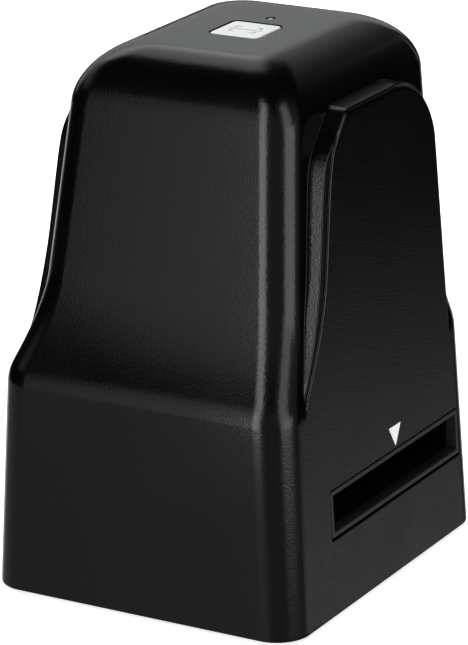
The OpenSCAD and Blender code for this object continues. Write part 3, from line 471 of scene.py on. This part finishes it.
def slot_cutter(name, side):
    mid, tall = (SLOT_LOW + SLOT_HIGH) / 2, SLOT_HIGH - SLOT_LOW

    def outline(grow):
        return rounded(SLOT_W + 2 * grow, tall + 2 * grow, SLOT_R + max(grow, 0), 3)

    def place(u, v, out):
        return side * (side_plane(mid + v) + out), SLOT_Y + u, mid + v

    return mouth_cutter(name, outline, place, SLOT_CUT_DEEP, SLOT_CHAMFER, CUT_REACH)


def top_cutter(name, outline, y):
    def place(u, v, out):
        return u, y + v, BODY_H + out

    return mouth_cutter(name, outline, place, WALL_CUT_DEEP, TOP_CHAMFER, CUT_REACH)


def port_cutter(name):
    def outline(grow):
        return rounded(PORT_W + 2 * grow, PORT_H + 2 * grow, PORT_R + grow, 6)

    def place(u, v, out):
        return u, TOWER_BACK + out, PORT_Z + v

    return mouth_cutter(name, outline, place, WALL_CUT_DEEP, PORT_CHAMFER, PORT_CUT_REACH)


def cut(obj, tools):
    """Takes the tools out of an object and returns the rest as a bmesh; all objects go."""
    for tool in tools:
        mod = obj.modifiers.new("cut", "BOOLEAN")
        mod.operation = "DIFFERENCE"
        mod.solver = "EXACT"
        mod.object = tool
    graph = bpy.context.evaluated_depsgraph_get()
    mesh = bpy.data.meshes.new_from_object(obj.evaluated_get(graph))
    for used in [*tools, obj]:
        bpy.data.objects.remove(used, do_unlink=True)
    bm = bmesh.new()
    bm.from_mesh(mesh)
    bpy.data.meshes.remove(mesh)
    return bm


def button_outline(grow):
    hole = BUTTON_W + 2 * (BUTTON_GAP + grow)
    return rounded(hole, hole, BUTTON_R + BUTTON_GAP + grow, 8)


def indicator_outline(grow):
    return circle(INDICATOR_HOLE_R + grow * INDICATOR_FLARE)


def make_housing():
    raw = mesh_object("raw_housing", housing_skin())
    tools = [slot_cutter("tool_right", 1), slot_cutter("tool_left", -1),
             top_cutter("tool_button", button_outline, BUTTON_Y),
             top_cutter("tool_lamp", indicator_outline, INDICATOR_Y),
             port_cutter("tool_port")]
    return new_piece("housing_moulding", cut(raw, tools), "housing")


# ---------------------------------------------------------------- smaller pieces


def make_bezel(name, side):
    """The ring in a slot mouth, with broken edges, flush with the drafted side."""
    wide, tall = CHANNEL_W + 2 * BEZEL_W, CHANNEL_H + 2 * BEZEL_W

    def loop(grow, r, depth=None):
        """A loop at a depth in the side; without a depth it lies on the end of the film guide."""
        points = []
        for u, v in rounded(wide + 2 * grow, tall + 2 * grow, r, 4):
            x = GUIDE_END if depth is None else side_plane(SLOT_Z + v) - depth
            points.append((side * x, SLOT_Y + u, SLOT_Z + v))
        return points

    c, sink, inner = BEZEL_EDGE, BEZEL_SINK, -BEZEL_W
    bulge = BEZEL_BULGE * c
    rings = [loop(0, BEZEL_R),
             loop(0, BEZEL_R, sink + c),
             loop(-bulge, BEZEL_R, sink + bulge),
             loop(-c, BEZEL_R, sink),
             loop(inner + c, BEZEL_MOUTH_R, sink),
             loop(inner + bulge, mix(BEZEL_INNER_R, BEZEL_MOUTH_R, 0.5), sink + bulge),
             loop(inner, BEZEL_INNER_R, sink + c),
             loop(inner, BEZEL_INNER_R)]
    bm = bmesh.new()
    skin(bm, rings, closed=True)
    return new_piece(name, bm, "housing", 50)


def make_button():
    """The cap with a softened rim, its flange and its stem."""
    bm = bmesh.new()
    top = BODY_H + BUTTON_PROUD - SIGN_T
    flange_top = CEILING - FLANGE_DROP
    r = BUTTON_RIM_R
    sections = [(BUTTON_W + FLANGE_W, FLANGE_R, flange_top - FLANGE_T),
                (BUTTON_W + FLANGE_W, FLANGE_R, flange_top),
                (BUTTON_W, BUTTON_R, flange_top)]
    for a in range(0, 91, 15):
        inset = r * (1 - math.cos(math.radians(a)))
        sections.append((BUTTON_W - 2 * inset, BUTTON_R - inset, top - r + r * math.sin(math.radians(a))))
    flat_w = BUTTON_W - 2 * r
    sections += [(flat_w - 0.5, BUTTON_R - r - 0.1, top), (flat_w - 3.0, 0.9, top)]
    skin(bm, [[(u, BUTTON_Y + v, z) for u, v in rounded(w, w, cr, 8)] for w, cr, z in sections])
    skin(bm, [[(u, BUTTON_Y + v, z) for u, v in circle(STEM_R)]
              for z in (flange_top - STEM_LONG, flange_top - STEM_INSIDE)])
    return new_piece("scan_button_cap", bm, "button", 40)


def make_icon():
    """A plain printed sign on the button: the four corners of a frame and the line that scans it."""
    bm = bmesh.new()
    top = BODY_H + BUTTON_PROUD
    w, d, leg, t = SIGN_W, SIGN_D, SIGN_LEG, SIGN_LINE

    def bar(xs, ys):
        (x0, x1), (y0, y1) = sorted(xs), sorted(ys)
        corners = ((x0, y0), (x1, y0), (x1, y1), (x0, y1))
        skin(bm, [[(x, BUTTON_Y + y, z) for x, y in corners] for z in (top - 2 * SIGN_T, top)])

    for sx in (-1, 1):
        for sy in (-1, 1):
            bar((sx * w, sx * (w - leg)), (sy * d, sy * (d - t)))
            bar((sx * w, sx * (w - t)), (sy * (d - t), sy * (d - leg)))
    bar((-w - SIGN_REACH, w + SIGN_REACH), (-t / 2, t / 2))
    return new_piece("button_sign", bm, "button")


def make_lamp_window():
    """The clear rod's domed end in the indicator hole."""
    bm = bmesh.new()
    top, collar = BODY_H - LAMP_SINK, CEILING - LAMP_COLLAR_DROP
    dome = DOME_SHARE * LAMP_R
    sections = [(LAMP_R, CEILING - LAMP_LONG), (LAMP_R, collar - LAMP_COLLAR_T),
                (LAMP_COLLAR_R, collar - LAMP_COLLAR_T), (LAMP_COLLAR_R, collar), (LAMP_R, collar)]
    for a in range(0, 90, 10):
        k = math.radians(a)
        sections.append((LAMP_R * math.cos(k), top - dome + dome * math.sin(k)))
    skin(bm, [[(u, INDICATOR_Y + v, z) for u, v in circle(r)] for r, z in sections])
    return new_piece("indicator_window", bm, "housing", 50)


# ---------------------------------------------------------------- materials


class Graph:
    """Makes and joins the nodes of one material or of the world."""

    def __init__(self, tree):
        self.tree = tree

    def node(self, kind, **props):
        made = self.tree.nodes.new(kind)
        for key, value in props.items():
            setattr(made, key, value)
        return made

    def set(self, node, key, value):
        node.inputs[key].default_value = value

    def link(self, a, b):
        self.tree.links.new(a, b)

    def calc(self, op, a, b):
        made = self.node("ShaderNodeMath", operation=op)
        for socket, value in zip(made.inputs, (a, b)):
            if isinstance(value, (int, float)):
                socket.default_value = value
            else:
                self.link(value, socket)
        return made.outputs["Value"]

    def remap(self, value, lo, hi, a=0.0, b=1.0, **props):
        made = self.node("ShaderNodeMapRange", **props)
        for key, v in (("From Min", lo), ("From Max", hi), ("To Min", a), ("To Max", b)):
            self.set(made, key, v)
        self.link(value, made.inputs["Value"])
        return made.outputs["Result"]


class Shader(Graph):
    """A small builder of one node-based material."""

    def __init__(self, name, color, roughness, metallic=0.0, specular=0.5):
        self.material = bpy.data.materials.new(name)
        self.material.use_nodes = True
        super().__init__(self.material.node_tree)
        self.main = self.tree.nodes["Principled BSDF"]
        self.set(self.main, "Base Color", (*color, 1.0))
        self.set(self.main, "Roughness", roughness)
        self.set(self.main, "Metallic", metallic)
        self.set(self.main, "Specular IOR Level", specular)
        self.place = self.node("ShaderNodeTexCoord").outputs["Object"]

    def noise(self, size_mm, detail=2.0, rough=0.5):
        made = self.node("ShaderNodeTexNoise")
        self.set(made, "Scale", 1 / (size_mm * MM))
        self.set(made, "Detail", detail)
        self.set(made, "Roughness", rough)
        self.link(self.place, made.inputs["Vector"])
        return made.outputs["Fac"]

    def bump(self, height, depth_mm):
        made = self.node("ShaderNodeBump")
        self.set(made, "Strength", 1.0)
        self.set(made, "Distance", depth_mm * MM)
        self.link(height, made.inputs["Height"])
        self.link(made.outputs["Normal"], self.main.inputs["Normal"])

    def tint(self, value, dark, light):
        made = self.node("ShaderNodeMix", data_type="RGBA")
        rgba = [s for s in made.inputs if s.type == "RGBA"]
        rgba[0].default_value, rgba[1].default_value = (*dark, 1), (*light, 1)
        self.link(value, made.inputs["Factor"])
        self.link([s for s in made.outputs if s.type == "RGBA"][0], self.main.inputs["Base Color"])

    def rough(self, value):
        self.link(value, self.main.inputs["Roughness"])


# a noise's middle range, which is remapped to a drift in gloss or colour
NOISE_LOW, NOISE_HIGH = 0.3, 0.7
DRIFT_MM, DRIFT_GLOSS, DRIFT_TONE = 22, 0.02, 0.12
FINE_GRAIN = 0.45


def grey(level):
    return level, level, level


def moulded(name, level, roughness, grain_mm, depth_mm, spread=0.05, fine_share=0.5, specular=0.5):
    """Moulded plastic: a fine spark-eroded grain with a slow drift in gloss and tone."""
    s = Shader(name, grey(level), roughness, specular=specular)
    grain = s.noise(grain_mm, 4 * fine_share, 0.6)
    slow = s.noise(DRIFT_MM)
    height = grain
    if fine_share:
        fine = s.noise(grain_mm * FINE_GRAIN, 1.0)
        height = s.calc("ADD", grain, s.calc("MULTIPLY", fine, fine_share))
    s.bump(height, depth_mm)
    s.rough(s.calc("ADD", s.remap(grain, NOISE_LOW, NOISE_HIGH, roughness - spread, roughness + spread),
                   s.remap(slow, NOISE_LOW, NOISE_HIGH, -DRIFT_GLOSS, DRIFT_GLOSS)))
    s.tint(slow, grey(level * (1 - DRIFT_TONE)), grey(level * (1 + DRIFT_TONE)))
    return s.material


def metal(name, color, roughness, scratch_mm):
    s = Shader(name, color, roughness, metallic=1.0)
    grain = s.noise(scratch_mm, 3.0, 0.6)
    s.rough(s.remap(grain, NOISE_LOW, NOISE_HIGH, roughness * 0.8, roughness * 1.25))
    s.bump(grain, 0.004)
    return s.material


def silver_paint():
    s = Shader("button_silver_paint", (0.67, 0.675, 0.68), 0.36, metallic=0.15)
    flakes = s.noise(0.12, 1.0)
    slow = s.noise(6)
    s.tint(s.calc("ADD", s.calc("MULTIPLY", flakes, 0.5), s.calc("MULTIPLY", slow, 0.5)),
           (0.62, 0.625, 0.63), (0.72, 0.725, 0.73))
    s.bump(flakes, 0.006)
    return s.material


def board():
    s = Shader("board_solder_mask", (0.01, 0.12, 0.05), 0.3)
    s.tint(s.remap(s.noise(0.8), 0.42, 0.58), (0.006, 0.08, 0.035), (0.012, 0.15, 0.06))
    s.bump(s.noise(0.4), 0.01)
    return s.material


def clear(name, color, roughness, transmission):
    s = Shader(name, color, roughness)
    s.set(s.main, "Transmission Weight", transmission)
    s.bump(s.noise(1.2, 1.0, 0.4), 0.002)
    return s.material


MATERIALS = {
    "housing_plastic": moulded("housing_black_abs", 0.0007, 0.2, 0.46, 0.021, spread=0.03, fine_share=0.0),
    "bezel_plastic": moulded("bezel_dark_abs", 0.018, 0.3, 0.5, 0.006),
    "inner_black": moulded("inner_black_matt", 0.001, 0.75, 0.5, 0.02, specular=0.1),
    "button_silver": silver_paint(),
    "mark_white": moulded("printed_white", 0.78, 0.5, 0.3, 0.004),
    "foot_rubber": moulded("foot_rubber", 0.02, 0.8, 0.5, 0.03),
    "screw_steel": metal("screw_steel", (0.55, 0.56, 0.58), 0.3, 0.6),
    "polished_steel": metal("polished_steel", (0.7, 0.71, 0.73), 0.12, 1.0),
    "board_resin": board(),
    "chip_resin": moulded("chip_resin", 0.02, 0.55, 0.3, 0.01),
    "component_tin": metal("component_tin", (0.6, 0.58, 0.52), 0.4, 0.5),
    "light_box_white": moulded("light_box_white", 0.75, 0.6, 0.5, 0.01),
    "diffuser_opal": moulded("diffuser_opal", 0.8, 0.35, 0.8, 0.003),
    "led_phosphor": moulded("led_phosphor", 0.6, 0.25, 0.3, 0.005),
    "lens_glass": clear("lens_glass", (0.9, 0.95, 1.0), 0.05, 1.0),
    "light_pipe_clear": clear("light_pipe_clear", (0.42, 0.44, 0.45), 0.3, 0.25),
    "connector_nylon": moulded("connector_nylon", 0.6, 0.5, 0.5, 0.01),
    "lead_film": moulded("lead_film", 0.7, 0.35, 0.8, 0.004),
}
SIGN_GREY = moulded("sign_grey_print", 0.12, 0.5, 0.3, 0.002)


def dress(obj, material):
    obj.data.materials.clear()
    obj.data.materials.append(material)


# ---------------------------------------------------------------- camera

# where the camera stands and looks, in millimetres over the floor, and its roll in degrees
CAMERA_AT = Vector((453.22, -780.56, 364.18)) * MM
CAMERA_AIM = Vector((0.57, -1.32, 61.75)) * MM
CAMERA_ROLL = -0.916
FOCAL_PX, LONG_SIDE_PX = 3841.8, 645
SENSOR = 36.0


def make_camera():
    data = bpy.data.cameras.new("camera")
    data.sensor_width = SENSOR
    data.lens = FOCAL_PX / LONG_SIDE_PX * SENSOR
    data.clip_start, data.clip_end = 0.05, 50.0
    cam = add_object("camera", data)
    back = (CAMERA_AT - CAMERA_AIM).normalized()
    level = Vector((0, 0, 1)).cross(back).normalized()
    facing = Matrix((level, back.cross(level), back)).transposed()
    roll = Matrix.Rotation(math.radians(CAMERA_ROLL), 3, "Z")
    cam.matrix_world = Matrix.Translation(CAMERA_AT) @ (facing @ roll).to_4x4()
    bpy.context.scene.camera = cam


# ---------------------------------------------------------------- studio

AMBIENT = 0.0028
ROOM_TINT, PAPER_TINT = (1.0, 1.01, 0.975, 1), (1, 1, 1, 1)
CARD_TINT, OVERHEAD_TINT = (0.975, 1.0, 1.02), (1, 1, 1)

# The room's light by direction, as lobes. Angles are in degrees: the azimuth runs from -Y towards
# +X, a lobe is full up to one angle from its azimuth and gone at another, and it reaches from its
# lowest to its highest elevation with soft ends.
LOBES = {
    "left side, low": dict(azimuth=-81, full=70, gone=98, low=-39.5, high=-15.5, soft=7, strength=0.27),
    "behind right, low": dict(azimuth=144, full=5, gone=22, low=-20.5, high=-20, soft=6, strength=0.47),
    "front right": dict(azimuth=48, full=70, gone=80, low=-47.5, high=31, soft=39.5, strength=0.163),
    "behind left, low": dict(azimuth=-148, full=28, gone=40, low=-30, high=-12, soft=6, strength=0.7),
    "left side, high": dict(azimuth=-125, full=5, gone=85, low=28, high=33, soft=8, strength=0.42),
}

# Soft boxes that face the object. The azimuth is as above, and the distance, the half-width and
# the lower and upper edge are in metres. Power is radiance times pi times the box's area.
SOFT_BOXES = {
    "front_strip": dict(azimuth=-0.8, distance=0.2, half=0.037, low=0.012, high=0.427, radiance=3.15),
    "front_left": dict(azimuth=-20, distance=0.375, half=0.09, low=-0.017, high=0.33, radiance=0.48),
    "right_low": dict(azimuth=83, distance=0.89, half=0.29, low=-0.16, high=0.24, radiance=2.0),
    "right_high": dict(azimuth=76, distance=0.8, half=0.2, low=0.207, high=1.4, radiance=1.57),
    "back_left_high": dict(azimuth=-132.5, distance=0.226, half=0.092, low=0.246, high=0.554, radiance=1.01),
    "back_left_wide": dict(azimuth=-138, distance=0.343, half=0.288, low=0.148, high=0.29, radiance=0.56),
    "back_right": dict(azimuth=165, distance=0.65, half=0.07, low=0.07, high=0.4, radiance=0.3),
}


def area(name, at, aim, size, size_y, power, tint, glossy=True):
    data = bpy.data.lights.new(name, "AREA")
    data.energy = power
    data.shape = "RECTANGLE"
    data.color = tint
    data.size, data.size_y = size, size_y
    obj = add_object(name, data)
    obj.location = at
    obj.rotation_euler = (Vector(aim) - Vector(at)).to_track_quat("-Z", "Y").to_euler()
    obj.visible_camera = False
    obj.visible_glossy = glossy


def soft_box(name, azimuth, distance, half, low, high, radiance):
    a, mid = math.radians(azimuth), (low + high) / 2
    at = (distance * math.sin(a), -distance * math.cos(a), mid)
    power = radiance * math.pi * 2 * half * (high - low)
    area(name, at, (0, 0, mid), 2 * half, high - low, power, CARD_TINT)


def lobe_nodes(g, flat, up, azimuth, full, gone, low, high, soft, strength):
    """The nodes of one lobe, from the level direction and the height of a ray."""

    def ramp(value, lo, hi):
        return g.remap(value, lo, hi, interpolation_type="SMOOTHSTEP")

    def rise(degrees):
        return math.sin(math.radians(degrees))

    a = math.radians(azimuth)
    dot = g.node("ShaderNodeVectorMath", operation="DOT_PRODUCT")
    g.link(flat, dot.inputs[0])
    dot.inputs[1].default_value = (math.sin(a), -math.cos(a), 0)
    turn = ramp(dot.outputs["Value"], math.cos(math.radians(gone)), math.cos(math.radians(full)))
    band = g.calc("MULTIPLY", ramp(up, rise(low - soft), rise(low)), ramp(up, rise(high + soft), rise(high)))
    return g.calc("MULTIPLY", g.calc("MULTIPLY", turn, band), strength)


def make_world():
    """The room as light by direction; the camera itself sees plain white paper."""
    world = bpy.data.worlds.new("studio")
    world.use_nodes = True
    world.node_tree.nodes.clear()
    g = Graph(world.node_tree)
    way = g.node("ShaderNodeTexCoord").outputs["Generated"]
    split = g.node("ShaderNodeSeparateXYZ")
    g.link(way, split.inputs[0])
    level = g.node("ShaderNodeVectorMath", operation="MULTIPLY")
    g.link(way, level.inputs[0])
    level.inputs[1].default_value = (1, 1, 0)
    flat = g.node("ShaderNodeVectorMath", operation="NORMALIZE")
    g.link(level.outputs["Vector"], flat.inputs[0])

    total = AMBIENT
    for lobe in LOBES.values():
        total = g.calc("ADD", lobe_nodes(g, flat.outputs["Vector"], split.outputs["Z"], **lobe), total)

    room = g.node("ShaderNodeBackground")
    g.set(room, "Color", ROOM_TINT)
    g.link(total, room.inputs["Strength"])
    paper = g.node("ShaderNodeBackground")
    g.set(paper, "Color", PAPER_TINT)
    g.set(paper, "Strength", 1.0)
    pick = g.node("ShaderNodeMixShader")
    out = g.node("ShaderNodeOutputWorld")
    g.link(g.node("ShaderNodeLightPath").outputs["Is Camera Ray"], pick.inputs[0])
    g.link(room.outputs[0], pick.inputs[1])
    g.link(paper.outputs[0], pick.inputs[2])
    g.link(pick.outputs[0], out.inputs[0])
    bpy.context.scene.world = world


FLOOR_HALF, FLOOR_GLOW, FLOOR_DRIFT_MM = 4.0, 0.8, 300


def make_floor():
    bm = bmesh.new()
    corners = ((-1, -1), (1, -1), (1, 1), (-1, 1))
    bm.faces.new([bm.verts.new((x * FLOOR_HALF, y * FLOOR_HALF, 0)) for x, y in corners])
    floor = mesh_object("floor", bm)
    s = Shader("floor_paper", grey(0.9), 0.9, specular=0.1)
    s.set(s.main, "Emission Color", (1, 1, 1, 1))
    s.set(s.main, "Emission Strength", FLOOR_GLOW)
    s.tint(s.noise(FLOOR_DRIFT_MM), grey(0.89), grey(0.91))
    dress(floor, s.material)
    floor.visible_glossy = False
    floor.visible_shadow = False


def make_studio():
    make_world()
    make_floor()
    area("overhead", at=(-0.25, 0.1, 1.3), aim=(0, 0, 0.05), size=1.2, size_y=1.2, power=20,
         tint=OVERHEAD_TINT, glossy=False)
    for name, box in SOFT_BOXES.items():
        soft_box(name, **box)
    scene = bpy.context.scene
    scene.view_settings.view_transform = "Standard"
    scene.view_settings.look = "None"


# ---------------------------------------------------------------- assembly

make_camera()
make_studio()

housing = make_housing()
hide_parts("outer_shell")
dress(housing, MATERIALS["housing_plastic"])

for place_name, side in (("right", 1), ("left", -1)):
    bezel = make_bezel("bezel_" + place_name, side)
    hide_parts("slot_bezel_" + place_name)
    dress(bezel, MATERIALS["bezel_plastic"])

cap = make_button()
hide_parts("scan_button")
dress(cap, MATERIALS["button_silver"])
sign = make_icon()
dress(sign, SIGN_GREY)

lamp = make_lamp_window()
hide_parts("status_light_pipe")
dress(lamp, MATERIALS["light_pipe_clear"])

SLOT_OF = {row["node"]: row["material_slot"] for row in frame["record"]["subparts"]}
for node_name, node_obj in frame["nodes"].items():
    dress(node_obj, MATERIALS[SLOT_OF[node_name]])

# each detent spring is an own copy of the CAD spring's mesh, riding on the housing
for place_name, joint_name in (("front", "front_detent"), ("back", "rear_detent")):
    cad_spring = frame["nodes"]["detent_spring_" + place_name]
    spring = add_object("coil_spring_" + place_name, cad_spring.data.copy())
    spring.matrix_world = cad_spring.matrix_world
    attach(spring, "housing")
    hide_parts(cad_spring.name)
    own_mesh(spring)
